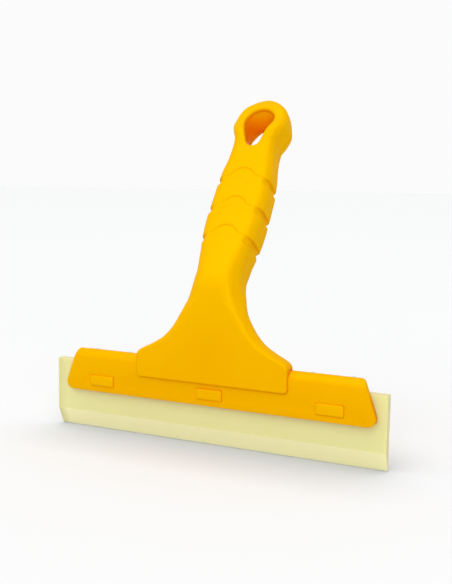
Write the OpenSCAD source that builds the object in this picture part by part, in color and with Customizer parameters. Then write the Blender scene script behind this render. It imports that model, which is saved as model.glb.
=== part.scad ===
// Hand squeegee: a flat polyurethane blade clamped between two jaws, under a
// hollow grip that is bent back and ends in a hanging eye.
//
// Origin: on the blade's working edge, in the middle of the grip.
// X runs along the blade, Y to the back, Z up, in millimetres.

/* [Blade] */
// Length of the blade
blade_len = 200; // [196:1:210]
// Height of the blade, from its working edge to its top
blade_h = 40; // [39:0.5:40]
// Thickness of the blade
blade_t = 5.2; // [5:0.1:5.2]
// Height of the bevel above the working edge
bevel_h = 10.2; // [6:0.2:14]
// Width of the flat left on the working edge
edge_flat = 0.6; // [0.4:0.1:1]
// How far the blade stands endwise from the middle of the jaws
blade_shift = -2; // [-3:0.5:3]

/* [Jaws] */
// Length of the front jaw along its lower edge
jaw_len = 186; // [184:0.5:190]
// Angle that the jaws' ends lean inwards
end_slant = 19.5; // [16:0.5:22]
// Height of the jaws' lower edge above the working edge
jaw_z = 23.6; // [22:0.2:24]
// Height of the jaws' top above the working edge
jaw_top_z = 48; // [47.5:0.1:48]
// Thickness of the front jaw
front_jaw_t = 3.8; // [3.6:0.1:4]
// Thickness of the rear jaw beside the blade
rear_jaw_t = 2.6; // [2.4:0.1:3]
// How much shorter the rear jaw is at each end
rear_inset = 3.5; // [0:0.5:5]
// Gap on each side of the blade
blade_gap = 0.05; // [0.05:0.01:0.1]

/* [Keys] */
// Distance from the middle key to each outer key
key_pitch = 68.8; // [66:0.2:70]
// Length of a key along the jaw
key_len = 15.2; // [14:0.2:16]
// Height of a key
key_h = 6; // [5:0.2:6.4]
// Height of the keys' middle above the working edge
key_z = 30; // [28:0.2:30.4]
// How far a key stands out of the front jaw
key_proud = 0.7; // [0.4:0.1:1]

/* [Grip] */
// Angle that the grip is bent back from the head
tilt = 36; // [34:0.5:37]
// Radius of the bend, along the front of the grip
bend_r = 20; // [18:1:24]
// Height at which the bend starts
bend_z = 86.5; // [86:0.5:88]
// How far the skirt stands out in front of the front jaw
skirt_proud = 1.5; // [1.2:0.1:2]
// Height of the skirt's lower edge
skirt_z = 35.7; // [35:0.1:37]
// Wall thickness of the grip's shells
wall = 2.5; // [2.2:0.1:2.6]
// Depth of the three finger bands
band_depth = 1.1; // [0.6:0.1:1.6]
// Distance between finger bands
band_pitch = 19.2; // [18:0.2:20]
// Radius at the wide end of the hanging eye
eye_r = 9; // [8:0.2:9.4]

/* [Screws] */
// Radius of a screw's shank
screw_r = 1.4; // [1.2:0.1:1.5]
// Radius of a screw's head
screw_head_r = 2.8; // [2.6:0.1:3]
// Height of a screw's head
screw_head_h = 1.6; // [1.2:0.1:1.8]

/* [Hidden] */
$fn = 32;

plastic = [0.98, 0.74, 0.02];
urethane = [0.86, 0.84, 0.60];
steel = [0.72, 0.72, 0.74];
joint_gap = 0.05;       // between parts that meet without a fit
through = 1;            // how far a cutter runs past a face
slot_len = 3.4;         // length of the cross slot in a screw's head
slot_w = 0.7;           // its width
slot_depth = 0.8;       // its depth

// The blade's middle plane, from which everything is laid out to front and back.
mid_y = (edge_flat - blade_t) / 2;
slot_half = blade_t / 2 + blade_gap;        // half the width of the slot for the blade
jaw_front_y = -slot_half - front_jaw_t;     // front face of the front jaw
jaw_back_y = slot_half + rear_jaw_t;        // rear face of the rear jaw
spine_z = blade_h + 2 * joint_gap;          // underside of the spine, over the blade
jaw_corner_r = 4;       // radius at the lower ends of the jaws
jaw_shoulder_r = 3;     // radius at their upper ends
jaw_edge_r = 5.5;       // radius along their top, at the front and at the back
jaw_screw_bite = 2;     // depth of a screw's thread in the front jaw

// The jaw screws lie above the blade, outside the skirt.
jaw_screw_x = [-78, -56, 56, 78];
jaw_screw_z = (spine_z + jaw_top_z) / 2;
jaw_seat_y = 2;         // where the screws' heads bear, in Y

// The tang carries the grip: it rises from the rear jaw inside the skirt.
tang_w = 36;            // width of the tang
tang_y = [-3.8, -0.3];  // its front and rear faces
tang_top_z = 68;        // its top
tang_screw_x = [-12, 12];   // the screws that pass through it
tang_screw_z = 58;

// The grip is laid out along the front of its middle plane. A distance of 0 is
// where the bend starts, and the head below it has negative distances.
front_y = jaw_front_y - skirt_proud;
bend_len = bend_r * tilt * PI / 180;
lean_from = -24;        // where the sections start to lean
lean_to = 32;           // where they lean as far as the grip does
head_overlap = 5;       // how far the head reaches down over the round jaws
head_bottom = jaw_top_z - head_overlap - bend_z;
skirt_bottom = skirt_z - bend_z;
skirt_corner_r = 2;     // radius at the skirt's lower corners
head_split = 7.4;       // depth at which the cover meets the body, in the head
grip_split = 0.62;      // the same in the grip, as a share of the depth
split_from = -22;       // where the split starts to change from one to the other
split_run = 20;         // the distance over which it changes
corner_share = 0.6;     // the most of a section that its front corners round off
back_round = [0.7, 0.85];   // how much of the cover's width and depth is rounded
cavity_top = 92;        // where the hollow inside the grip ends

// The hanging eye narrows to a waist and opens again towards the back. Each row has a
// depth, the middle and radius of the wide end, and the same for the narrow end.
eye_top = 132;          // the end of the grip
eye_rings = [
    [24, 112, eye_r + 6, 101, 11],
    [13, 107.2, eye_r - 0.8, 101, 6],
    [-8, 116.6, eye_r + 0.5, 100, 5]
];

// The screws that hold the cover, and what they stand in.
grip_screw_s = [28, 80];
grip_screw_len = 6;     // length of a screw's shank
grip_screw_bite = 3;    // depth of its thread in the body
boss_r = 3.6;           // radius of the bosses in the body
seat_boss_r = 4.8;      // radius of those in the cover, where the heads sit
screw_slack = 0.1;      // gap round a shank that passes through
head_slack = 0.2;       // gap round a head in its seat
seat_depth = 12;        // depth of the well that a head goes in by

// [distance, half width]
half_widths = [
    [-51, 45.6], [-38, 45.6], [-36, 44.8], [-34.7, 43], [-31.5, 36.8], [-27.5, 30.4],
    [-22.5, 25.6], [-16.5, 21.8], [-9.5, 18.4], [0, 15.6], [8, 13.6], [14, 13],
    [24, 13.6], [36, 15.6], [50, 16.6], [66, 16.6], [78, 15.9], [88, 14.2], [96, 13.4],
    [102, 13.4], [107, 15.2], [112, 16.8], [117, 16.4], [121, 14.8], [125, 12],
    [128.6, 8.4], [eye_top, 3]
];
// [distance, depth from front to back]
depths = [
    [-51, 10.5], [-24, 10.5], [-16, 11.8], [-8, 16], [0, 21.6], [8, 25.6], [16, 26.2],
    [24, 25.8], [36, 25.2], [50, 24], [66, 22.4], [78, 21], [92, 20.2], [98, 21.4],
    [105, 23.4], [112, 21.6], [118, 15.4], [124, 10], [128, 7], [eye_top, 4]
];
// [distance, how far the front stands back from its straight line]
front_offsets = [
    [66, 0], [78, -0.8], [88, -1.2], [96, -1.9], [104, -2.8], [112, -2.4], [118, -2],
    [124, -1.2], [128, 0.2], [eye_top, 2]
];
// [distance, radius of the front corners]
front_rounds = [[-38, 1.5], [-32, 4.4], [0, 7], [24, 5.5]];

// The finger bands are shallow grooves all round the grip.
band_from = 32;         // where the lowest band starts
band_len = 6;           // width of a band
band_ramp = 0.8;        // length of the slope on each side of it
band_step = 0.01;       // between the two stations at a band's edge
bands = [for (k = [0:2]) band_from + k * band_pitch];

function in_band(s) = max([for (b = bands) (s > b && s < b + band_len) ? 1 : 0]);
function half_width(s) = lookup(s, half_widths) - in_band(s) * band_depth;
function depth(s) = lookup(s, depths) - in_band(s) * band_depth;
function front_offset(s) = lookup(s, front_offsets);
function front_round(s) = lookup(s, front_rounds);
function split(s) = lerp(head_split, grip_split * depth(s), (s - split_from) / split_run);
function lerp(a, b, t) = a + (b - a) * min(max(t, 0), 1);

// Angle of the front line, and of the section that leans back with it.
function bend_angle(s) = min(max(s / bend_len, 0), 1) * tilt;
function lean(s) = tilt * smooth(min(max((s - lean_from) / (lean_to - lean_from), 0), 1));
function smooth(t) = t * t * (3 - 2 * t);
function line_y(s) =
    front_y + bend_r * (1 - cos(bend_angle(s))) + max(s - bend_len, 0) * sin(tilt);
function line_z(s) =
    bend_z + min(s, 0) + bend_r * sin(bend_angle(s)) + max(s - bend_len, 0) * cos(tilt);

// Points on an arc. The radius is one number, or one for X and one for Y.
function arc(centre, r, from, to, steps = 6) = [
    for (k = [0:steps])
        let (a = from + (to - from) * k / steps, radii = is_num(r) ? [r, r] : r)
        centre + [radii[0] * cos(a), radii[1] * sin(a)]
];

band_edges = [
    for (b = bands)
        each [b - band_ramp, b + band_step, b + band_len - band_step, b + band_len + band_ramp]
];
// The distances at which the grip's sections are drawn.
stations = [
    head_bottom, -38, -36, -34.7, -31.5, -27.5, -22.5, -16.5, -12, -8, -4, 0, 4, 8, 12, 18, 24,
    each band_edges, 84, 88, 92, 96, 102, 107, 112, 117, 121, 125, 128.6, eye_top
];

// The stations that the hollow runs through.
cavity_stations = [
    head_bottom - through,
    for (s = stations)
        if (s <= cavity_top) s
];

// A point of the grip: across it, along it, and into it from the front line.
function in_grip(x, s, d) =
    [x, line_y(s) + d * cos(lean(s)), line_z(s) - d * sin(lean(s))];

// Everything is laid out from the blade's middle plane and placed by this.
module in_frame() translate([0, mid_y, 0]) children();

// Carries a shape from the grip's own plane to one station: local X stays across
// the grip, local Y runs from front to back, local Z runs up the grip.
module at_station(s) {
    translate([0, line_y(s), line_z(s)])
        rotate([-lean(s), 0, 0])
            children();
}

// Front part of the grip's section: round front corners, flat at the split.
function body_outline(s, inset) =
    let (
        w = half_width(s) - inset,
        near = front_offset(s) + inset,
        far = front_offset(s) + split(s) + (inset > 0 ? through : 0),
        r = min(w * corner_share, (far - near) * corner_share, front_round(s)) - min(inset, 1)
    )
    concat(
        arc([-w + r, near + r], r, 180, 270),
        arc([w - r, near + r], r, 270, 360),
        [[w, far], [-w, far]]
    );

// Rear part of the grip's section: flat at the split, round rear corners.
function cover_outline(s, inset) =
    let (
        w = half_width(s) - inset,
        near = front_offset(s) + split(s) + (inset > 0 ? -through : joint_gap),
        far = front_offset(s) + depth(s) - inset,
        r = [back_round[0] * w, back_round[1] * (far - near)]
    )
    concat(
        [[-w, near], [w, near]],
        arc([w - r[0], far - r[1]], r, 0, 90),
        arc([-w + r[0], far - r[1]], r, 90, 180)
    );

// The outline of one part at one station, as points in space.
function ring(part, s, inset) =
    let (outline = part == "body" ? body_outline(s, inset) : cover_outline(s, inset))
    [for (p = outline) in_grip(p[0], s, p[1])];

// Joins outlines with the same number of points into a solid.
module skin(rings) {
    n = len(rings[0]);
    last = (len(rings) - 1) * n;
    sides = [
        for (i = [0:n:last - n], j = [0:n - 1])
            let (a = i + j, b = i + (j + 1) % n)
            each [[a, a + n, b + n], [a, b + n, b]]
    ];
    ends = [[for (j = [0:n - 1]) j], [for (j = [n - 1:-1:0]) last + j]];
    polyhedron([for (r = rings) each r], concat(sides, ends));
}

module loft(part, stations, inset = 0) {
    skin([for (s = stations) ring(part, s, inset)]);
}

// The hollow inside one part, open at the bottom and at the split.
module cavity(part) {
    loft(part, cavity_stations, wall);
}

// Outline of the eye at one depth: two arcs joined by straight sides.
function eye_outline(row) =
    let (
        d = row[0],
        top = row[1],
        r = row[2],
        low = row[3],
        low_r = row[4],
        side = asin((r - low_r) / (top - low)),
        outline = concat(
            arc([0, top], r, -side, 180 + side, 20),
            arc([0, low], low_r, 180 + side, 360 - side, 10)
        )
    )
    [for (p = outline) in_grip(p[0], p[1], d)];

module eye_hole() {
    skin([for (row = eye_rings) eye_outline(row)]);
}

// Outline of a jaw seen from the front, with slanted ends.
module jaw_outline(half) {
    low = [half - jaw_corner_r, jaw_z + jaw_corner_r];
    rise = jaw_top_z - jaw_shoulder_r - low[1];
    spread = (jaw_corner_r - jaw_shoulder_r) / cos(end_slant);
    high = low + [spread - rise * tan(end_slant), rise];
    right = concat(
        arc(low, jaw_corner_r, -90, end_slant),
        arc(high, jaw_shoulder_r, end_slant, 90)
    );
    left = [for (i = [len(right) - 1:-1:0]) [-right[i][0], right[i][1]]];
    polygon(concat(right, left));
}

module jaw_blank(y_from, y_to, half) {
    translate([0, y_to, 0])
        rotate([90, 0, 0])
            linear_extrude(y_to - y_from)
                jaw_outline(half);
}

// Section through both jaws together, drawn in Y and Z, with a round top.
module jaw_section(gap = 0) {
    low = jaw_z - through;
    centre_z = jaw_top_z - jaw_edge_r;
    r = jaw_edge_r + gap;
    polygon(concat(
        [[jaw_front_y - gap, low], [jaw_back_y + gap, low]],
        arc([jaw_back_y - jaw_edge_r, centre_z], r, 0, 90),
        arc([jaw_front_y + jaw_edge_r, centre_z], r, 90, 180)
    ));
}

// Extrudes a section drawn in Y and Z along the whole length of the jaws.
module along_jaws() {
    rotate([90, 0, 90])
        linear_extrude(jaw_len + 2 * through, center = true)
            children();
}

module front_jaw() {
    back = -slot_half;
    color(plastic)
        in_frame()
            difference() {
                intersection() {
                    jaw_blank(jaw_front_y, back, jaw_len / 2);
                    along_jaws()
                        jaw_section();
                }
                for (x = [-key_pitch, 0, key_pitch])
                    key_blank(x, jaw_front_y - through, back + through, joint_gap);
                for (x = jaw_screw_x)
                    translate([x, back - jaw_screw_bite, jaw_screw_z])
                        rotate([-90, 0, 0])
                            cylinder(h = jaw_screw_bite + through, r = screw_r);
            }
}

// The slot for the blade, open at the front and at the bottom of the rear jaw.
module blade_slot() {
    along_jaws()
        translate([-slot_half - through, jaw_z - 2 * through])
            square([2 * slot_half + through, spine_z - jaw_z + 2 * through]);
}

// The tang stands on the spine, which starts at the given distance in Y.
module tang(front) {
    root = spine_z + through;
    translate([-tang_w / 2, front, root])
        cube([tang_w, tang_y[1] - front, jaw_top_z - root]);
    translate([-tang_w / 2, tang_y[0], jaw_top_z])
        cube([tang_w, tang_y[1] - tang_y[0], tang_top_z - jaw_top_z]);
}

// The rear jaw's spine closes the slot above the blade and carries the tang.
module rear_jaw() {
    front = -slot_half + joint_gap;
    color(plastic)
        in_frame()
            difference() {
                union() {
                    intersection() {
                        jaw_blank(front, jaw_back_y, jaw_len / 2 - rear_inset);
                        along_jaws()
                            jaw_section();
                    }
                    tang(front);
                }
                blade_slot();
                for (x = jaw_screw_x)
                    translate([x, jaw_seat_y, jaw_screw_z])
                        rotate([-90, 0, 0]) {
                            translate([0, 0, -jaw_back_y - slot_half])
                                cylinder(h = 2 * jaw_back_y, r = screw_r + screw_slack);
                            cylinder(h = jaw_back_y, r = screw_head_r + head_slack);
                        }
                for (x = tang_screw_x)
                    translate([x, 0, tang_screw_z])
                        rotate([90, 0, 0])
                            cylinder(h = 2 * jaw_back_y, r = screw_r + screw_slack, center = true);
            }
}

// One clamping key, a plain block through the front jaw.
module key_blank(x, y_from, y_to, gap = 0) {
    translate([x - key_len / 2 - gap, y_from, key_z - key_h / 2 - gap])
        cube([key_len + 2 * gap, y_to - y_from, key_h + 2 * gap]);
}

module key(x) {
    color(plastic)
        in_frame()
            key_blank(x, jaw_front_y - key_proud, -slot_half);
}

module key_left() key(-key_pitch);
module key_centre() key(0);
module key_right() key(key_pitch);

module blade() {
    half = blade_t / 2;
    color(urethane)
        in_frame()
            translate([blade_shift, 0, 0])
                rotate([90, 0, 90])
                    linear_extrude(blade_len, center = true)
                        polygon([
                            [half - edge_flat, 0], [half, 0], [half, blade_h],
                            [-half, blade_h], [-half, bevel_h]
                        ]);
}

// A cross-slotted screw along Z, with the seat of its head at 0.
module screw(shank) {
    difference() {
        cylinder(h = screw_head_h, r = screw_head_r);
        for (a = [0, 90])
            rotate([0, 0, a])
                translate([-slot_len / 2, -slot_w / 2, screw_head_h - slot_depth])
                    cube([slot_len, slot_w, slot_depth + through]);
    }
    translate([0, 0, -shank])
        cylinder(h = shank + through, r = screw_r);
}

module jaw_screws() {
    color(steel)
        in_frame()
            for (x = jaw_screw_x)
                translate([x, jaw_seat_y, jaw_screw_z])
                    rotate([-90, 0, 0])
                        screw(jaw_seat_y + slot_half + jaw_screw_bite - joint_gap);
}

// The skirt covers the top of the front jaw.
module skirt() {
    half = half_width(skirt_bottom);
    r = skirt_corner_r;
    translate([0, front_y + split(skirt_bottom), 0])
        rotate([90, 0, 0])
            linear_extrude(split(skirt_bottom))
                polygon(concat(
                    arc([-half + r, skirt_z + r], r, 180, 270),
                    arc([half - r, skirt_z + r], r, 270, 360),
                    [[half, bend_z + head_bottom], [-half, bend_z + head_bottom]]
                ));
}

// Runs something along every screw of the grip: Z points out of the back, and
// the seat of the screw's head is at 0.
module at_grip_screws() {
    for (x = tang_screw_x)
        translate([x, front_y + depth(skirt_bottom) - screw_head_h, tang_screw_z])
            rotate([-90, 0, 0])
                children();
    for (s = grip_screw_s)
        at_station(s)
            translate([0, front_offset(s) + split(s) + grip_screw_len - grip_screw_bite, 0])
                rotate([-90, 0, 0])
                    children();
}

// What is left standing in the cavity of the body, round its screws.
module body_bosses() {
    for (x = tang_screw_x)
        translate([x, tang_y[0] - joint_gap, tang_screw_z])
            rotate([90, 0, 0])
                cylinder(h = wall, r = boss_r);
    for (s = grip_screw_s)
        at_station(s)
            translate([0, front_offset(s) + split(s), 0])
                rotate([90, 0, 0])
                    cylinder(h = depth(s), r = boss_r);
}

// The same in the cover.
module cover_bosses() {
    for (s = grip_screw_s)
        at_station(s)
            translate([0, front_offset(s) + split(s) + joint_gap, 0])
                rotate([-90, 0, 0])
                    cylinder(h = depth(s), r = seat_boss_r);
}

module grip_body() {
    color(plastic)
        in_frame()
            difference() {
                union() {
                    loft("body", stations);
                    skirt();
                }
                difference() {
                    cavity("body");
                    body_bosses();
                }
                along_jaws()
                    jaw_section(joint_gap);
                eye_hole();
                at_grip_screws()
                    translate([0, 0, -grip_screw_len - screw_slack])
                        cylinder(h = grip_screw_len, r = screw_r);
            }
}

module grip_cover() {
    color(plastic)
        in_frame()
            difference() {
                loft("cover", stations);
                difference() {
                    cavity("cover");
                    cover_bosses();
                }
                along_jaws()
                    jaw_section(joint_gap);
                eye_hole();
                at_grip_screws() {
                    translate([0, 0, -grip_screw_len])
                        cylinder(h = 2 * grip_screw_len, r = screw_r + screw_slack);
                    cylinder(h = seat_depth, r = screw_head_r + head_slack);
                }
            }
}

module grip_screws() {
    color(steel)
        in_frame()
            at_grip_screws()
                screw(grip_screw_len);
}

blade();
front_jaw();
rear_jaw();
key_left();
key_centre();
key_right();
jaw_screws();
grip_body();
grip_cover();
grip_screws();
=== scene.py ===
"""Hand squeegee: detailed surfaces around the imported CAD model, on a pale studio floor."""
import math

import bmesh
import bpy
import numpy as np
from mathutils import Matrix, Vector


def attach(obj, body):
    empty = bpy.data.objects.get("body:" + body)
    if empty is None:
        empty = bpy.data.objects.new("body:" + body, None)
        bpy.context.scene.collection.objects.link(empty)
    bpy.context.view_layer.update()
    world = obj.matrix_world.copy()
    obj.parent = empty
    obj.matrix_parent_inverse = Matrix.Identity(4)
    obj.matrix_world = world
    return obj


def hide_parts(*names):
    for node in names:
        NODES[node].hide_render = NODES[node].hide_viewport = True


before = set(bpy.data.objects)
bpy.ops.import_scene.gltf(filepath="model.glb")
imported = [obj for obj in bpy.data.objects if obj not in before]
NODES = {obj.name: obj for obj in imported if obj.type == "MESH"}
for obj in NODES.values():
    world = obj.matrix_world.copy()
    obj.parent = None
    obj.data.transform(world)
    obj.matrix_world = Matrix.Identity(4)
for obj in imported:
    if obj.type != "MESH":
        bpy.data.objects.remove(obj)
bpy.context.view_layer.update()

MM = 0.001
HOLDER, BLADE = "holder", "blade"

# ---------------------------------------------------------------- camera, in degrees and millimetres

CAMERA_TURN, CAMERA_RISE, CAMERA_ROLL = 25.559, 6.867, 0.915
CAMERA_TARGET, CAMERA_DISTANCE = (5.594, -2.3, 85.964), 485.223
CAMERA_LENS, CAMERA_SENSOR, CAMERA_SHIFT = 55.48, 36, 1 / 584
CAMERA_CLIP = (0.01, 20)  # metres


def look_axes(azimuth, elevation, roll):
    """Right, up and back directions of a camera that looks at the object."""
    a, e, r = (math.radians(v) for v in (azimuth, elevation, roll))
    back = Vector((math.sin(a) * math.cos(e), -math.cos(a) * math.cos(e), math.sin(e)))
    side = Vector((math.cos(a), math.sin(a), 0))
    up = back.cross(side)
    return (side * math.cos(r) + up * math.sin(r), up * math.cos(r) - side * math.sin(r), back)


def make_camera():
    right, up, back = look_axes(CAMERA_TURN, CAMERA_RISE, CAMERA_ROLL)
    data = bpy.data.cameras.new("camera")
    data.lens, data.sensor_width, data.shift_x = CAMERA_LENS, CAMERA_SENSOR, CAMERA_SHIFT
    data.clip_start, data.clip_end = CAMERA_CLIP
    camera = bpy.data.objects.new("camera", data)
    bpy.context.scene.collection.objects.link(camera)
    place = Matrix((right, up, back)).transposed().to_4x4()
    place.translation = Vector(CAMERA_TARGET) * MM + back * CAMERA_DISTANCE * MM
    camera.matrix_world = place
    bpy.context.scene.camera = camera


make_camera()

# ---------------------------------------------------------------- sizes, in millimetres, as in the CAD

# A point of the grip is given by its distance across, its distance s along the grip's front
# line, which is 0 where the grip starts to bend back, and its depth d behind that line.
EDGE_FLAT, BLADE_T = 0.6, 5.2
MID_Y = (EDGE_FLAT - BLADE_T) / 2
SLOT_HALF = BLADE_T / 2 + 0.05
JAW_FRONT_Y = -SLOT_HALF - 3.8
JAW_TOP_Z, JAW_EDGE_R = 48, 5.5
FRONT_Y = JAW_FRONT_Y - 1.5
SKIRT_Z = 35.7
TILT, BEND_R, BEND_Z = math.radians(36), 20, 86.5
BEND_LEN = BEND_R * TILT
LEAN_FROM, LEAN_TO = -24, 32           # where the sections turn from level to square
SPLIT_FROM, SPLIT_RUN = -22, 20        # where the seam goes over from the head to the grip
SPLIT_HEAD, SPLIT_GRIP = 7.4, 0.62     # its depth in the head, and its share of the grip's depth
EYE_FRONT = (113.6, 8.8, 100.4, 4.6)   # middle and radius of the wide end, then of the narrow end
EYE_WAIST = (107.2, 8.2, 101, 6)
EYE_MIDDLE = 108.0
EYE_TOP = 132
BANDS = [31.6 + 19.2 * k for k in range(3)]
GRIP_SCREW_S = (28.0, 80.0)
GRIP_SEAT, WELL_R, WELL_LEN = 3.0, 3.0, 16.0

# Each row: distance along the front line, value there.
HALF_WIDTHS = [
    (-51, 45.6), (-38, 45.6), (-36, 44.8), (-34.7, 43), (-31.5, 36.8), (-27.5, 30.4),
    (-22.5, 25.6), (-16.5, 21.8), (-9.5, 18.4), (0, 15.6), (8, 13.7), (14, 13.1),
    (24, 13.6), (36, 15.6), (50, 16.6), (66, 16.6), (78, 15.9), (88, 14.2), (96, 13.2),
    (101, 12.9), (107, 15.0), (112, 16.6)]
# The end of the loop is nearly round.
LOOP_FROM, LOOP_HALF, LOOP_POWER = 114, 16.5, 0.58
HALF_WIDTHS += [
    (s, LOOP_HALF * (1 - ((s - LOOP_FROM) / (EYE_TOP - LOOP_FROM)) ** 2) ** LOOP_POWER)
    for s in (117, 119, 121, 123, 125, 127, 128.5, 129.7, 130.6, 131.3, 131.7, 131.9)]
DEPTHS = [
    (-51, 10.5), (-24, 10.5), (-16, 11.8), (-8, 16), (0, 21.6), (8, 25.6), (16, 26.2),
    (24, 25.8), (36, 25.2), (50, 24), (66, 22.4), (78, 21), (92, 20.2), (98, 21.4),
    (105, 23.2), (112, 21.6), (118, 15.8), (124, 10.4), (128, 7.2), (EYE_TOP - 0.1, 3)]
FRONT_OFFSETS = [
    (50, 0), (66, 0), (78, -0.8), (88, -1.2), (96, -1.9), (104, -2.7), (112, -2.4),
    (118, -2), (124, -1.2), (128, 0.2), (EYE_TOP - 0.1, 2.2)]
FRONT_ROUNDS = [
    (-38, 1.6), (-34, 3.6), (-20, 6), (-6, 9.5), (4, 10), (14, 8), (26, 5.8), (84, 5.5),
    (100, 5), (132, 4)]
CROWNS = [(-36, 0), (-14, 0.2), (4, 1.6), (20, 1.2), (84, 0.8), (94, 0.3), (132, 0)]


def smooth_table(table):
    """A monotone cubic through the points of a table, flat beyond its ends."""
    xs, ys = np.array(table, float).T
    h, d = np.diff(xs), np.diff(ys) / np.diff(xs)
    m = np.zeros(len(xs))
    turn = d[:-1] * d[1:] > 0
    w1, w2 = 2 * h[1:] + h[:-1], h[1:] + 2 * h[:-1]
    with np.errstate(divide="ignore", invalid="ignore"):
        mean = (w1 + w2) / (w1 / d[:-1] + w2 / d[1:])
    m[1:-1] = np.where(turn, mean, 0)
    m[0], m[-1] = d[0], d[-1]

    def f(v):
        v = np.clip(np.asarray(v, float), xs[0], xs[-1])
        i = np.clip(np.searchsorted(xs, v) - 1, 0, len(xs) - 2)
        t = (v - xs[i]) / h[i]
        return ((2 * t**3 - 3 * t**2 + 1) * ys[i] + (t**3 - 2 * t**2 + t) * h[i] * m[i]
                + (3 * t**2 - 2 * t**3) * ys[i + 1] + (t**3 - t**2) * h[i] * m[i + 1])
    return f


half_width, depth = smooth_table(HALF_WIDTHS), smooth_table(DEPTHS)
front_offset, front_round = smooth_table(FRONT_OFFSETS), smooth_table(FRONT_ROUNDS)
crown = smooth_table(CROWNS)


def smoothstep(a, b, v):
    t = np.clip((np.asarray(v, float) - a) / (b - a), 0, 1)
    return t * t * (3 - 2 * t)


def round_over(q, r):
    """How far a face has dropped, q inside its edge, where the edge has radius r."""
    t = np.clip(r - np.asarray(q, float), 0, r)
    return r - np.sqrt(np.maximum(r * r - t * t, 0))


def line_point(s):
    """Y from the blade's middle plane, and Z, of a point of the front line."""
    a = np.clip(s / BEND_LEN, 0, 1) * TILT
    more = np.maximum(s - BEND_LEN, 0)
    y = FRONT_Y + BEND_R * (1 - np.cos(a)) + more * math.sin(TILT)
    z = BEND_Z + np.minimum(s, 0) + BEND_R * np.sin(a) + more * math.cos(TILT)
    return y, z


def in_space(x, s, d):
    """The frame's coordinates, in metres, of a point of the grip."""
    y, z = line_point(s)
    lean = TILT * smoothstep(LEAN_FROM, LEAN_TO, s)
    return np.stack([x, y + d * np.cos(lean) + MID_Y, z - d * np.sin(lean)], -1) * MM


def jaw_surface(z):
    """Depth of the jaws' round top behind the grip's front, at a height."""
    t = np.clip(z - (JAW_TOP_Z - JAW_EDGE_R), 0, JAW_EDGE_R - 0.01)
    return JAW_FRONT_Y + JAW_EDGE_R - np.sqrt(JAW_EDGE_R**2 - t * t) - FRONT_Y


def split(s):
    """Depth of the seam between the shells, behind the face of the front one."""
    t = smoothstep(SPLIT_FROM, SPLIT_FROM + SPLIT_RUN, s)
    return SPLIT_HEAD + (SPLIT_GRIP * depth(s) - SPLIT_HEAD) * t


# ---------------------------------------------------------------- mesh helpers

WELD = 1e-6               # metres within which the points of a new mesh are one
SHELL_CREASE = 50         # edges sharper than this stay sharp, in degrees
BEVEL_FROM = 34           # edges of the CAD sharper than this are broken, in degrees


def add_object(name, mesh):
    obj = bpy.data.objects.new(name, mesh)
    bpy.context.scene.collection.objects.link(obj)
    return obj


def mesh_object(name, verts, faces, material):
    mesh = bpy.data.meshes.new(name)
    mesh.from_pydata([tuple(v) for v in verts], [], faces)
    mesh.validate()
    bm = bmesh.new()
    bm.from_mesh(mesh)
    bmesh.ops.remove_doubles(bm, verts=bm.verts, dist=WELD)
    bmesh.ops.recalc_face_normals(bm, faces=bm.faces)
    bm.to_mesh(mesh)
    bm.free()
    mesh.materials.append(material)
    return add_object(name, mesh)


def sharpen(mesh, degrees):
    """Marks the edges that stay sharp when the mesh is shaded smooth."""
    bm = bmesh.new()
    bm.from_mesh(mesh)
    for e in bm.edges:
        e.smooth = len(e.link_faces) != 2 or e.calc_face_angle(0) < math.radians(degrees)
    bm.to_mesh(mesh)
    bm.free()


def cad_copy(name, node, material, body, bevel, segments=2, crease=40):
    """A CAD piece with its edges broken, as moulding or turning leaves them."""
    mesh = NODES[node].data.copy()
    mesh.name = name
    mesh.materials.clear()
    bm = bmesh.new()
    bm.from_mesh(mesh)
    bmesh.ops.remove_doubles(bm, verts=bm.verts, dist=2 * WELD)
    bmesh.ops.dissolve_limit(bm, angle_limit=math.radians(0.5), verts=bm.verts, edges=bm.edges)
    edges = [e for e in bm.edges
             if len(e.link_faces) == 2 and e.calc_face_angle(0) > math.radians(BEVEL_FROM)]
    bmesh.ops.bevel(bm, geom=edges, offset=bevel * MM, offset_type="OFFSET", segments=segments,
                    profile=0.5, affect="EDGES", clamp_overlap=True)
    bm.to_mesh(mesh)
    bm.free()
    mesh.materials.append(material)
    mesh.shade_smooth()
    sharpen(mesh, crease)
    obj = add_object(name, mesh)
    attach(obj, body)
    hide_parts(node)
    return obj


class Patchwork:
    """Points and faces of a mesh that is put together from rows and rings."""

    def __init__(self):
        self.points, self.faces, self.count = [], [], 0

    def keep(self, points):
        """Adds some points, and returns the number of the first."""
        start = self.count
        self.points.append(points)
        self.count += len(points)
        return start

    def strip(self, low, high, width):
        """Faces between two rows of the same width."""
        for j in range(width):
            self.faces.append((low + j, low + j + 1, high + j + 1, high + j))

    def ring(self, inner, outer):
        """Faces between two closed loops of point numbers."""
        count = len(inner)
        for i in range(count):
            j = (i + 1) % count
            self.faces.append((inner[i], inner[j], outer[j], outer[i]))


# ---------------------------------------------------------------- materials

AO_SAMPLES = 8


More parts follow.
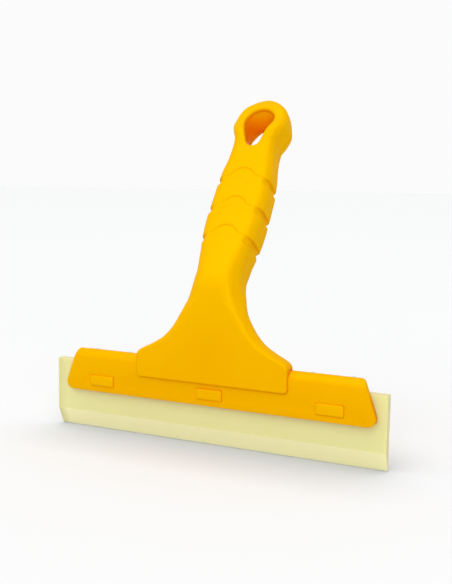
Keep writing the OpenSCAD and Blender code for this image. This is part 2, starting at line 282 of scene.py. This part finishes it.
class Nodes:
    """A material's node tree, built by short calls."""

    def __init__(self, name):
        self.mat = bpy.data.materials.new(name)
        self.mat.use_nodes = True
        self.tree = self.mat.node_tree
        self.bsdf = self.tree.nodes["Principled BSDF"]
        coord = self.tree.nodes.new("ShaderNodeTexCoord")
        self.place, self.normal = coord.outputs["Object"], coord.outputs["Normal"]

    def add(self, kind, links=None, **values):
        node = self.tree.nodes.new("ShaderNode" + kind)
        for key, value in values.items():
            if hasattr(node, key):
                setattr(node, key, value)
            else:
                node.inputs[key].default_value = value
        for key, source in (links or {}).items():
            self.tree.links.new(source, node.inputs[key])
        return node

    def noise(self, scale, detail=3, roughness=0.5):
        return self.add("TexNoise", {"Vector": self.place}, Scale=scale, Detail=detail,
                        Roughness=roughness).outputs["Fac"]

    def span(self, source, low, high, start=0.0, end=1.0):
        """Maps start to low and end to high."""
        node = self.add("MapRange", {"Value": source})
        for key, value in (("From Min", start), ("From Max", end), ("To Min", low), ("To Max", high)):
            node.inputs[key].default_value = value
        return node.outputs["Result"]

    def mix(self, fac, a, b):
        """Goes from a to b, each a colour or a socket."""
        node = self.add("MixRGB", {"Fac": fac})
        for key, value in (("Color1", a), ("Color2", b)):
            if hasattr(value, "node"):
                self.tree.links.new(value, node.inputs[key])
            else:
                node.inputs[key].default_value = (*value, 1)
        return node.outputs["Color"]

    def axis(self, source, name):
        return self.add("SeparateXYZ", {"Vector": source}).outputs[name]

    def shaded(self, distance):
        return self.add("AmbientOcclusion", Distance=distance, samples=AO_SAMPLES).outputs["AO"]

    def feed(self, key, source):
        self.tree.links.new(source, self.bsdf.inputs[key])

    def fix(self, **values):
        """Sets sockets of the shader that have one value all over."""
        for key, value in values.items():
            self.bsdf.inputs[key.replace("_", " ")].default_value = value

    def bump(self, height, strength, distance):
        node = self.add("Bump", {"Height": height}, Strength=strength, Distance=distance)
        self.tree.links.new(node.outputs["Normal"], self.bsdf.inputs["Normal"])


def yellow_plastic(name, lit_and_lighter_tone, shaded_and_darker_tone):
    """Saturated yellow with painted shade: darker low down, and orange where light is caught between
    its faces.
    """
    m = Nodes(name)
    cloud = m.span(m.noise(25, 5), -0.3, 0.3, 0.3, 0.7)
    # painted shade: the yellow goes over to the shaded one below a height of 90 mm; random clouds vary
    # it as well
    height_shade_and_tone = m.add("Math", {0: m.span(m.axis(m.place, "Z"), 0.15, 1, 0.03, 0.09), 1: cloud},
                 operation="ADD", use_clamp=True).outputs["Value"]
    # painted shade: occluded hollows, such as the eye's wall, turn deep orange
    painted_hollow_shade = m.span(m.shaded(0.03), 1, 0, 0.28, 0.86)
    m.feed("Base Color", m.mix(painted_hollow_shade, m.mix(height_shade_and_tone, shaded_and_darker_tone, lit_and_lighter_tone), (0.80, 0.145, 0.0)))
    m.feed("Roughness", m.span(m.noise(60, 4), 0.30, 0.42, 0.3, 0.7))
    m.fix(Metallic=0.12, IOR=1.05, Specular_Tint=(1.0, 0.75, 0.08, 1))
    m.bump(m.noise(1400, 4, 0.6), 0.05, 0.0002)
    return m.mat


def urethane(name):
    """Translucent blade stock: clearer on its thin bevel, whose downward faces also get painted light,
    browner on its ends.
    """
    m = Nodes(name)
    across, up = m.axis(m.normal, "X"), m.axis(m.normal, "Z")
    cloud = m.span(m.noise(30, 5), 0, 1, 0.25, 0.75)
    tint = m.mix(cloud, (0.668, 0.640, 0.295), (0.680, 0.654, 0.307))
    # painted light: downward-facing faces, the bevel, get a paler colour, which also stands for the
    # thin clear edge
    tint = m.mix(m.span(up, 1, 0, -0.42, -0.1), tint, (0.84, 0.785, 0.45))
    sideways = m.add("Math", {0: across}, operation="ABSOLUTE").outputs["Value"]
    tint = m.mix(m.span(sideways, 0, 1, 0.3, 0.8), tint, (0.62, 0.55, 0.27))
    tint = m.mix(m.span(up, 0, 1, 0.5, 0.9), tint, (0.62, 0.53, 0.24))
    left_end = m.span(m.axis(m.place, "X"), 1, 0, -0.102, -0.096)
    m.feed("Base Color", m.mix(left_end, tint, (0.58, 0.55, 0.25)))
    m.feed("Roughness", m.span(m.noise(45, 4), 0.36, 0.42, 0.1, 0.9))
    m.fix(Specular_IOR_Level=0.3, Specular_Tint=(1.0, 0.95, 0.6, 1), Subsurface_Weight=0.35,
          Subsurface_Radius=(1.0, 0.95, 0.6), Subsurface_Scale=0.004)
    m.bump(m.noise(700, 4, 0.6), 0.04, 0.0002)
    return m.mat


def zinc(name):
    """Plated steel with a fine grain."""
    m = Nodes(name)
    m.feed("Base Color", m.mix(m.noise(300, 5), (0.50, 0.50, 0.52), (0.66, 0.66, 0.68)))
    m.feed("Roughness", m.span(m.noise(800, 4), 0.28, 0.5, 0.3, 0.7))
    m.fix(Metallic=1.0)
    m.bump(m.noise(2000, 3), 0.15, 0.0001)
    return m.mat


# each plastic gets a lit and a shaded yellow, which the painted shade mixes by height
SHELL = yellow_plastic("shell_plastic", lit_and_lighter_tone=(0.768, 0.405, 0.0), shaded_and_darker_tone=(0.745, 0.352, 0.0))
KEY = yellow_plastic("key_plastic", lit_and_lighter_tone=(0.79, 0.450, 0.0), shaded_and_darker_tone=(0.755, 0.372, 0.0))
PU = urethane("blade_urethane")
ZINC = zinc("zinc_plate")

# ---------------------------------------------------------------- the surface of a grip shell

# A shell's surface is crossed by columns: up one flank, round its corner, across the face
# to the middle line, and the same on the other side.
N_FLANK, N_ARC = 22, 12
N_FACE = {"body": 66, "cover": 34}
SEAM = 0.06                    # half the gap at the seam
JAW_GAP = 0.05                 # gap between the skirt and the jaws
BODY_CORNER, COVER_CORNER = 0.65, 0.7     # most of the half width that a corner takes
CORNER_DEEP = 0.85             # most of the depth that a corner takes
SWELL = 1.4                    # how far the loop swells forward beside the eye


def columns(part):
    return 2 * N_FLANK + 2 * N_ARC + N_FACE[part]


def section(part, s):
    """Half width, seam and face positions, and corner radii of a section."""
    w = half_width(s)
    near = front_offset(s)
    cut = near + split(s)
    if part == "cover":
        edge, face = cut + SEAM, near + depth(s)
        return w, edge, face, COVER_CORNER * w, CORNER_DEEP * (face - edge)
    _, z = line_point(s)
    on_jaw = z < JAW_TOP_Z - JAW_GAP
    edge = np.minimum(cut - SEAM, np.where(on_jaw, jaw_surface(z) - JAW_GAP, np.inf))
    r = np.minimum(np.minimum(w * BODY_CORNER, (cut - near) * CORNER_DEEP), front_round(s))
    r = np.minimum(r, np.maximum(edge - near, 0.2) * 0.9)
    return w, edge, near, r, r


def shares(part, c):
    """How much of the flank, of the corner and of the half face lies before a column."""
    k = np.minimum(c, columns(part) - c)
    return (np.clip(k / N_FLANK, 0, 1), np.clip((k - N_FLANK) / N_ARC, 0, 1),
            np.clip((k - N_FLANK - N_ARC) / (N_FACE[part] / 2), 0, 1))


def surface(part, s, c):
    """x and d of the outer surface at distance s and column c, both arrays."""
    w, edge, face, rx, ry = section(part, s)
    turn = np.sign(face - edge)
    flank, arc, flat = shares(part, c)
    on_flank, a = arc == 0, arc * math.pi / 2
    x = np.where(flat > 0, (-w + rx) * (1 - flat), -w + rx * (1 - np.cos(a)))
    d = np.where(on_flank, edge + flank * (face - turn * ry - edge),
                 face - turn * ry * (1 - np.sin(a)))
    if part == "body":
        swell = np.exp(-((s - 105) / 5.5) ** 2) - 0.5 * np.exp(-((s - 117) / 4.5) ** 2)
        d = d - SWELL * swell * smoothstep(2, 9, np.abs(x)) * flank
    d = d - turn * crown(s) * (x / np.maximum(w, 1)) ** 2 * flank
    return np.where(c <= columns(part) / 2, x, -x), d


def unroll(part, c, s):
    """Distance across the surface from its middle line."""
    _, edge, face, rx, ry = section(part, s)
    half = half_width(s) - rx
    flank, arc, flat = shares(part, c)
    a = ((1 - flat) * half + (1 - arc) * (rx + ry) / 2 * math.pi / 2
         + (1 - flank) * (np.abs(face - edge) - ry))
    return np.where(c <= columns(part) / 2, -a, a)


def roll_up(part, a, s):
    """The column at a distance across the surface from its middle line."""
    _, edge, face, rx, ry = section(part, s)
    half = half_width(s) - rx
    arc = (rx + ry) / 2 * math.pi / 2
    flank = np.maximum(np.abs(face - edge) - ry, 1e-6)
    m = np.abs(a)
    k = ((1 - np.clip(m / np.maximum(half, 1e-6), 0, 1)) * N_FACE[part] / 2
         + (1 - np.clip((m - half) / arc, 0, 1)) * N_ARC
         + (1 - np.clip((m - half - arc) / flank, 0, 1)) * N_FLANK)
    return np.where(a <= 0, k, columns(part) - k)


# ---------------------------------------------------------------- the hanging eye

def eye_distance(x, s, eye):
    """Distance outside the eye's outline, in the plane across its axis."""
    top, top_r, low, low_r = eye
    px, down = np.abs(x), top - s
    length = top - low
    slope = (top_r - low_r) / length
    level = math.sqrt(1 - slope * slope)
    along = down * level - px * slope
    beside = px * level + down * slope - top_r
    return np.where(along < 0, np.hypot(px, down) - top_r,
                    np.where(along > length * level, np.hypot(px, down - length) - low_r, beside))


def eye_edge(x, s, eye):
    """Where the lines from the eye's middle to some points cross its outline."""
    low, high = np.zeros(len(x)), np.ones(len(x))
    for _ in range(40):
        middle = (low + high) / 2
        inside = eye_distance(x * middle, EYE_MIDDLE + (s - EYE_MIDDLE) * middle, eye) < 0
        low, high = np.where(inside, middle, low), np.where(inside, high, middle)
    return x * high, EYE_MIDDLE + (s - EYE_MIDDLE) * high


COVER_RIM, BODY_RIM, BODY_RIM_MORE = 6.0, 1.5, 0.9     # the last is added at the wide end


def eye_rim(part, s):
    """How wide the eye's rim is rounded, at some distances."""
    if part == "cover":
        return np.full_like(s, COVER_RIM)
    return BODY_RIM + BODY_RIM_MORE * smoothstep(111, 119, s)


def eye_border(part, sides):
    """Columns and distances round the region of the eye, whose sides are given."""
    n = columns(part)
    cols = np.arange(n + 1)
    low = np.stack([cols, np.full(n + 1, EYE_FROM)], 1)
    right = np.stack([np.full(len(sides), n), sides], 1)
    high = np.stack([cols[::-1], np.full(n + 1, sides[-1])], 1)
    left = np.stack([np.zeros(len(sides)), sides[::-1]], 1)
    return np.concatenate([low[:-1], right[:-1], high[:-1], left[:-1]])


# ---------------------------------------------------------------- the finger bands

BANDS_FROM, BANDS_TO = 26, 86             # no vertex outside these distances is moved
STRAIGHT_AT = 40.0                        # a place where the front line is straight
SEAM_REACH = 0.3                          # vertices this close to the seam move along it only
ARCH_R, ARCH_HALF, ARCH_RISE = 8.4, 7.5, 4.4   # the arch over a band, on the front
BAND_TALL, BAND_LOW = 5.6, 0.6            # from a band's place to its upper and lower border
TOP_FALL, LOW_FALL, FALL_RUN = 0.24, 0.2, 6.5  # how the borders fall beside the arch
FRONT_DEEP, FLANK_MORE, COVER_DEEP = 0.34, 0.93, 1.15
FRONT_RAMP, FLANK_LESS, COVER_RAMP = 2.4, 1.4, 1.0
STEP_FROM, STEP_TO = -0.6, 0.2            # the step up over a band, from its upper border
LIP_HIGH, LIP_AT, LIP_WIDE = 0.3, 0.3, 0.34    # the lip on that step


def band_shape(part, x, s, side):
    """Height of the finger bands above the plain surface. side is 0 on the front, 1 on the flank."""
    height = np.zeros_like(s)
    ax = np.abs(x)
    beside = np.clip(ax - ARCH_HALF, 0, FALL_RUN)
    on_arch = ax < ARCH_HALF
    chord = np.sqrt(np.maximum(ARCH_R**2 - np.minimum(ax, ARCH_HALF) ** 2, 1e-6))
    rise = np.maximum(np.where(on_arch, chord - (ARCH_R - ARCH_RISE), 0), 0)
    slope = np.where(on_arch, ax / chord, 0)
    if part == "cover":
        rise, slope = 0, 0
        deep, ramp = COVER_DEEP, COVER_RAMP
    else:
        deep = FRONT_DEEP + FLANK_MORE * smoothstep(0.25, 0.85, side)
        ramp = FRONT_RAMP - FLANK_LESS * smoothstep(0.3, 0.8, side)
    for place in BANDS:
        over = (s - (place + BAND_TALL - TOP_FALL * beside + rise)) / np.sqrt(1 + slope**2)
        low = place + BAND_LOW - LOW_FALL * beside + 0.45 * rise
        height -= deep * smoothstep(0, 1, (s - low) / ramp) * (1 - smoothstep(STEP_FROM, STEP_TO, over))
        if part == "body":
            lip = np.exp(-((over - LIP_AT) / LIP_WIDE) ** 2)
            height += LIP_HIGH * lip * smoothstep(0, 0.6, ARCH_HALF + 0.3 - ax) * (side < 0.5)
    return height


def shape_bands(part, mesh):
    """Moves the vertices along their normals, but for the seam's, to shape the finger bands."""
    co, no = np.empty(len(mesh.vertices) * 3), np.empty(len(mesh.vertices) * 3)
    mesh.vertices.foreach_get("co", co)
    mesh.vertices.foreach_get("normal", no)
    co, no = co.reshape(-1, 3), no.reshape(-1, 3)
    y, z = co[:, 1] / MM - MID_Y, co[:, 2] / MM
    y0, z0 = line_point(np.array([STRAIGHT_AT]))
    along = STRAIGHT_AT + (y - y0) * math.sin(TILT) + (z - z0) * math.cos(TILT)
    into = (y - y0) * math.cos(TILT) - (z - z0) * math.sin(TILT)
    inwards = np.array([0, math.cos(TILT), -math.sin(TILT)])
    move = band_shape(part, co[:, 0] / MM, along, np.abs(no[:, 0]))
    at_seam = np.abs(into - front_offset(along) - split(along)) < SEAM_REACH
    to_seam = no @ inwards if part == "body" else -(no @ inwards)
    move = np.where((along > BANDS_FROM) & (along < BANDS_TO) & (to_seam <= 0.9), move, 0)
    level = no - (no @ inwards)[:, None] * inwards[None] * at_seam[:, None]
    level /= np.maximum(np.linalg.norm(level, axis=1, keepdims=True), 1e-6)
    co = co + level * move[:, None] * MM
    mesh.vertices.foreach_set("co", co.ravel())
    mesh.update()


# ---------------------------------------------------------------- the grip's two shells

EDGE_ROWS = (0, 0.06, 0.18, 0.36, 0.6, 0.9, 1.3, 1.8, 2.4)   # rows close to the lower edge
COVER_LAP = 3.2                # how far the cover reaches below the jaws' top
SKIRT_CORNER, SKIRT_EDGE = 2.0, 0.9       # how round the skirt's lower corners and edge are
EYE_FROM = 88.0                # the rows end here, and the rings round the eye begin
LOOP_GAP = 0.12                # the last ring is this far below the loop's top
SIDE_ROWS, RIM_RINGS, FACE_RINGS, WALL_RINGS = 64, 12, 24, 10
RIM_SHARE = 0.75               # most of the way to the border that the rim takes
SEAM_KEPT = 0.3                # the cover's rim stops this far above the seam


def add_rows(build, part):
    """The shell below the eye. Returns the first point of the last row but one."""
    n = columns(part)
    start = SKIRT_Z - BEND_Z if part == "body" else JAW_TOP_Z - COVER_LAP - BEND_Z
    rows = np.concatenate([
        start + np.array(EDGE_ROWS), np.arange(start + 3.2, -39, 1.0),
        np.arange(-38.6, -28, 0.5), np.arange(-28, 28, 0.9),
        np.arange(28, 82, 0.32 if part == "body" else 0.45), np.linspace(82, EYE_FROM, 14)])
    s = np.repeat(rows[:, None], n + 1, 1)
    c = np.repeat(np.arange(n + 1)[None], len(rows), 0).astype(float)
    x, d = surface(part, s, c)
    if part == "body":
        x = x * (1 - round_over(s - start, SKIRT_CORNER) / half_width(s))
        d = d + round_over(s - start, SKIRT_EDGE) * (np.abs(c - n / 2) < n / 2 - N_FLANK)
    first = build.keep(in_space(x, s, d).reshape(-1, 3))
    at = [first + i * (n + 1) for i in range(len(rows))]
    for low, high in zip(at, at[1:]):
        build.strip(low, high, n)
    for low, high in zip(at[:-1], at[1:-1]):   # the seam's face behind them
        build.faces.append((low, high, high + n, low + n))
    build.faces.append(tuple(first + j for j in range(n + 1)))
    return at[-2]


def add_eye(build, part, sides):
    """The rings round the eye and its wall. Returns the outermost and the innermost ring."""
    border = eye_border(part, sides)
    count = len(border)
    bx, bs = unroll(part, border[:, 0], border[:, 1]), border[:, 1]
    hx, hs = eye_edge(bx, bs, EYE_FRONT if part == "body" else EYE_WAIST)
    reach = np.hypot(bx - hx, bs - hs)
    rim = np.minimum(eye_rim(part, hs), reach * RIM_SHARE)
    turn = 1 if part == "body" else -1

    def drop(s, d):
        """How deep the rim goes at its inner end."""
        return rim if part == "body" else np.maximum(d - section(part, s)[1] - SEAM_KEPT, 0.2)

    def loop(points):
        start = build.keep(points)
        return range(start, start + count)

    rings = [(f, 0.0) for f in (np.arange(RIM_RINGS) / RIM_RINGS) ** 2]
    rings += [(1.0, f) for f in np.linspace(0, 1, FACE_RINGS)]
    loops = []
    for rim_share, face_share in rings:
        f = (rim * rim_share + (reach - rim) * face_share) / reach
        s = hs + (bs - hs) * f
        c = border[:, 0] if face_share == 1 else roll_up(part, hx + (bx - hx) * f, s)
        x, d = surface(part, s, c)
        d = d + turn * round_over(rim_share, 1.0) * drop(s, d)
        loops.append(loop(in_space(x, s, d)))
    for inner, outer in zip(loops, loops[1:]):
        build.ring(inner, outer)

    x0, d0 = surface(part, hs, roll_up(part, hx, hs))
    d0 = d0 + turn * drop(hs, d0)
    x1, s1 = eye_edge(bx, bs, EYE_WAIST)
    d1 = section(part, s1)[1]
    last = loops[0]
    for f in np.linspace(0, 1, WALL_RINGS + 1)[1:]:
        now = loop(in_space(x0 + (x1 - x0) * f, hs + (s1 - hs) * f, d0 + (d1 - d0) * f))
        build.ring(now, last)
        last = now
    return loops[-1], last


def add_seam_face(build, part, row, outer, inner, sides):
    """The seam's face round the eye, and the small faces that close it below and above."""
    n = columns(part)

    def chord(s, ends):
        """A straight row of points on the seam."""
        d = section(part, np.array([s]))[1][0]
        x = np.linspace(*ends, n + 1) * half_width(s)
        return build.keep(in_space(x, np.full(n + 1, s), np.full(n + 1, d)))

    low, high = chord(EYE_FROM, (-1, 1)), chord(sides[-1], (1, -1))
    border = [low + i for i in range(n)] + list(outer[n:n + len(sides) - 1])
    border += [high + i for i in range(n)] + list(outer[2 * n + len(sides) - 1:])
    build.ring(inner, border)
    build.faces.append((row, row + n, *(low + i for i in range(n, -1, -1))))
    top = n + len(sides) - 1
    build.faces.append((*outer[top:top + n + 1], *(high + i for i in range(n, -1, -1))))


def shell(part, name):
    """One half of the grip, closed along the seam, with its finger bands."""
    build = Patchwork()
    row = add_rows(build, part)
    sides = EYE_FROM + (EYE_TOP - LOOP_GAP - EYE_FROM) * (
        1 - (1 - np.linspace(0, 1, SIDE_ROWS)) ** 1.5)
    outer, inner = add_eye(build, part, sides)
    add_seam_face(build, part, row, outer, inner, sides)
    obj = mesh_object(name, np.concatenate(build.points), build.faces, SHELL)
    shape_bands(part, obj.data)
    obj.data.shade_smooth()
    sharpen(obj.data, SHELL_CREASE)
    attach(obj, HOLDER)
    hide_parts("grip_" + part)
    return obj


def sink_wells(obj):
    """Opens the wells that the grip's own screws go in by, in the back shell."""
    mesh = bpy.data.meshes.new("wells")
    bm = bmesh.new()
    for s in GRIP_SCREW_S:
        seat = front_offset(s) + split(s) + GRIP_SEAT
        place, deeper = (Vector(in_space(0.0, s, seat + more)) for more in (0.0, 1.0))
        turned = (deeper - place).to_track_quat("Z", "Y").to_matrix().to_4x4()
        middle = place + (deeper - place) * WELL_LEN / 2
        bmesh.ops.create_cone(bm, cap_ends=True, segments=32, radius1=WELL_R * MM,
                              radius2=WELL_R * MM, depth=WELL_LEN * MM,
                              matrix=Matrix.Translation(middle) @ turned)
    bm.to_mesh(mesh)
    bm.free()
    cutter = add_object("wells", mesh)
    cut = obj.modifiers.new("wells", "BOOLEAN")
    cut.operation, cut.solver, cut.object = "DIFFERENCE", "EXACT", cutter
    bpy.context.view_layer.update()
    opened = bpy.data.meshes.new_from_object(obj.evaluated_get(
        bpy.context.evaluated_depsgraph_get()))
    obj.modifiers.clear()
    obj.data = opened
    sharpen(opened, SHELL_CREASE)
    bpy.data.objects.remove(cutter)
    bpy.data.meshes.remove(mesh)


shell("body", "grip_front_shell")
sink_wells(shell("cover", "grip_back_shell"))

# ---------------------------------------------------------------- the jaws, keys, blade and screws

JAW_SINK, JAW_TOP_BAND = 0.9, 1.5      # how far the rear jaw's top is lowered, and what counts as top
KEY_GROW = 0.06


def lower_top(mesh):
    """Keeps the rear jaw's top just out of sight behind the front jaw's."""
    for v in mesh.vertices:
        if abs(v.co.z - JAW_TOP_Z * MM) < JAW_TOP_BAND * MM:
            v.co.z -= JAW_SINK * MM


def grow_key(mesh):
    """Lets a key fill more of its window."""
    low, high = (np.array(f([v.co for v in mesh.vertices], axis=0)) for f in (np.min, np.max))
    middle, half = (low + high) / 2, (high - low) / 2
    for v in mesh.vertices:
        share = (np.array(v.co) - middle) / half
        v.co.x += KEY_GROW * MM * share[0]
        v.co.z += KEY_GROW * MM * share[2]


cad_copy("jaw_front", "front_jaw", SHELL, HOLDER, 0.5, 3)
lower_top(cad_copy("jaw_rear", "rear_jaw", SHELL, HOLDER, 0.4, 2).data)
for side in ("left", "centre", "right"):
    grow_key(cad_copy("key_pad_" + side, "key_" + side, KEY, HOLDER, 0.65, 4).data)
cad_copy("blade_strip", "blade", PU, BLADE, 0.12, 2, 12)
cad_copy("screws_of_jaws", "jaw_screws", ZINC, HOLDER, 0.12, 2)
cad_copy("screws_of_grip", "grip_screws", ZINC, HOLDER, 0.12, 2)

# ---------------------------------------------------------------- floor and light, in metres

FLOOR_Z, FLOOR_HALF, FLOOR_STEPS = -0.3 * MM, 40.0, 8
SKY = (0.965, 0.965, 0.965, 1)
# The sky is dimmer round one direction, high on the right.
DIM_TOWARDS, DIM_FROM, DIM_FULL, DIM_TO = (0.8, -0.2, 0.56), 0.82, 0.92, 0.35
SUN_POWER, SUN_WIDE, SUN_TIP = 1.35, math.radians(70), math.radians(28)
BOX_PLACE, BOX_TARGET = (2.64, -2.88, 1.09), (0, 0, 0.09)
BOX_SIZE, BOX_POWER = (1.0, 2.0), 28.8


def make_floor():
    m = Nodes("floor")
    plain = m.mix(m.noise(3, 2), (0.742, 0.745, 0.750), (0.752, 0.755, 0.760))
    # painted shadow: the floor darkens to a cool grey where the object hems it in
    near = m.span(m.shaded(0.05), 1, 0, 0.5, 1)
    m.feed("Base Color", m.mix(near, plain, (0.56, 0.585, 0.635)))
    m.fix(Roughness=0.9, Specular_IOR_Level=0.0)
    at = [FLOOR_HALF * (k / FLOOR_STEPS * 2 - 1) ** 3 for k in range(FLOOR_STEPS + 1)]
    width = len(at)
    verts = [(x, y, FLOOR_Z) for y in at for x in at]
    faces = [(a, a + 1, a + width + 1, a + width)
             for j in range(FLOOR_STEPS) for a in range(j * width, j * width + FLOOR_STEPS)]
    mesh_object("floor", verts, faces, m.mat)


def make_sky():
    world = bpy.data.worlds.new("studio")
    bpy.context.scene.world = world
    world.use_nodes = True
    back = world.node_tree.nodes["Background"]
    back.inputs["Color"].default_value = SKY
    links, make = world.node_tree.links, world.node_tree.nodes.new
    towards = make("ShaderNodeVectorMath")
    towards.operation = "DOT_PRODUCT"
    towards.inputs[1].default_value = DIM_TOWARDS
    links.new(make("ShaderNodeTexCoord").outputs["Generated"], towards.inputs[0])
    dim = make("ShaderNodeMapRange")
    for key, value in (("From Min", DIM_FROM), ("From Max", DIM_FULL), ("To Min", 1.0),
                       ("To Max", DIM_TO)):
        dim.inputs[key].default_value = value
    links.new(towards.outputs["Value"], dim.inputs["Value"])
    links.new(dim.outputs["Result"], back.inputs["Strength"])


def make_lamps():
    sun = bpy.data.lights.new("overhead", "SUN")
    sun.energy, sun.angle = SUN_POWER, SUN_WIDE
    add_object("overhead", sun).rotation_euler = (SUN_TIP, 0, 0)
    box = bpy.data.lights.new("side_box", "AREA")
    box.shape, box.energy = "RECTANGLE", BOX_POWER
    box.size, box.size_y = BOX_SIZE
    lamp = add_object("side_box", box)
    lamp.location = BOX_PLACE
    aim = Vector(BOX_TARGET) - Vector(BOX_PLACE)
    lamp.rotation_euler = aim.to_track_quat("-Z", "Y").to_euler()


make_floor()
make_sky()
make_lamps()
bpy.context.scene.view_settings.view_transform = "Standard"
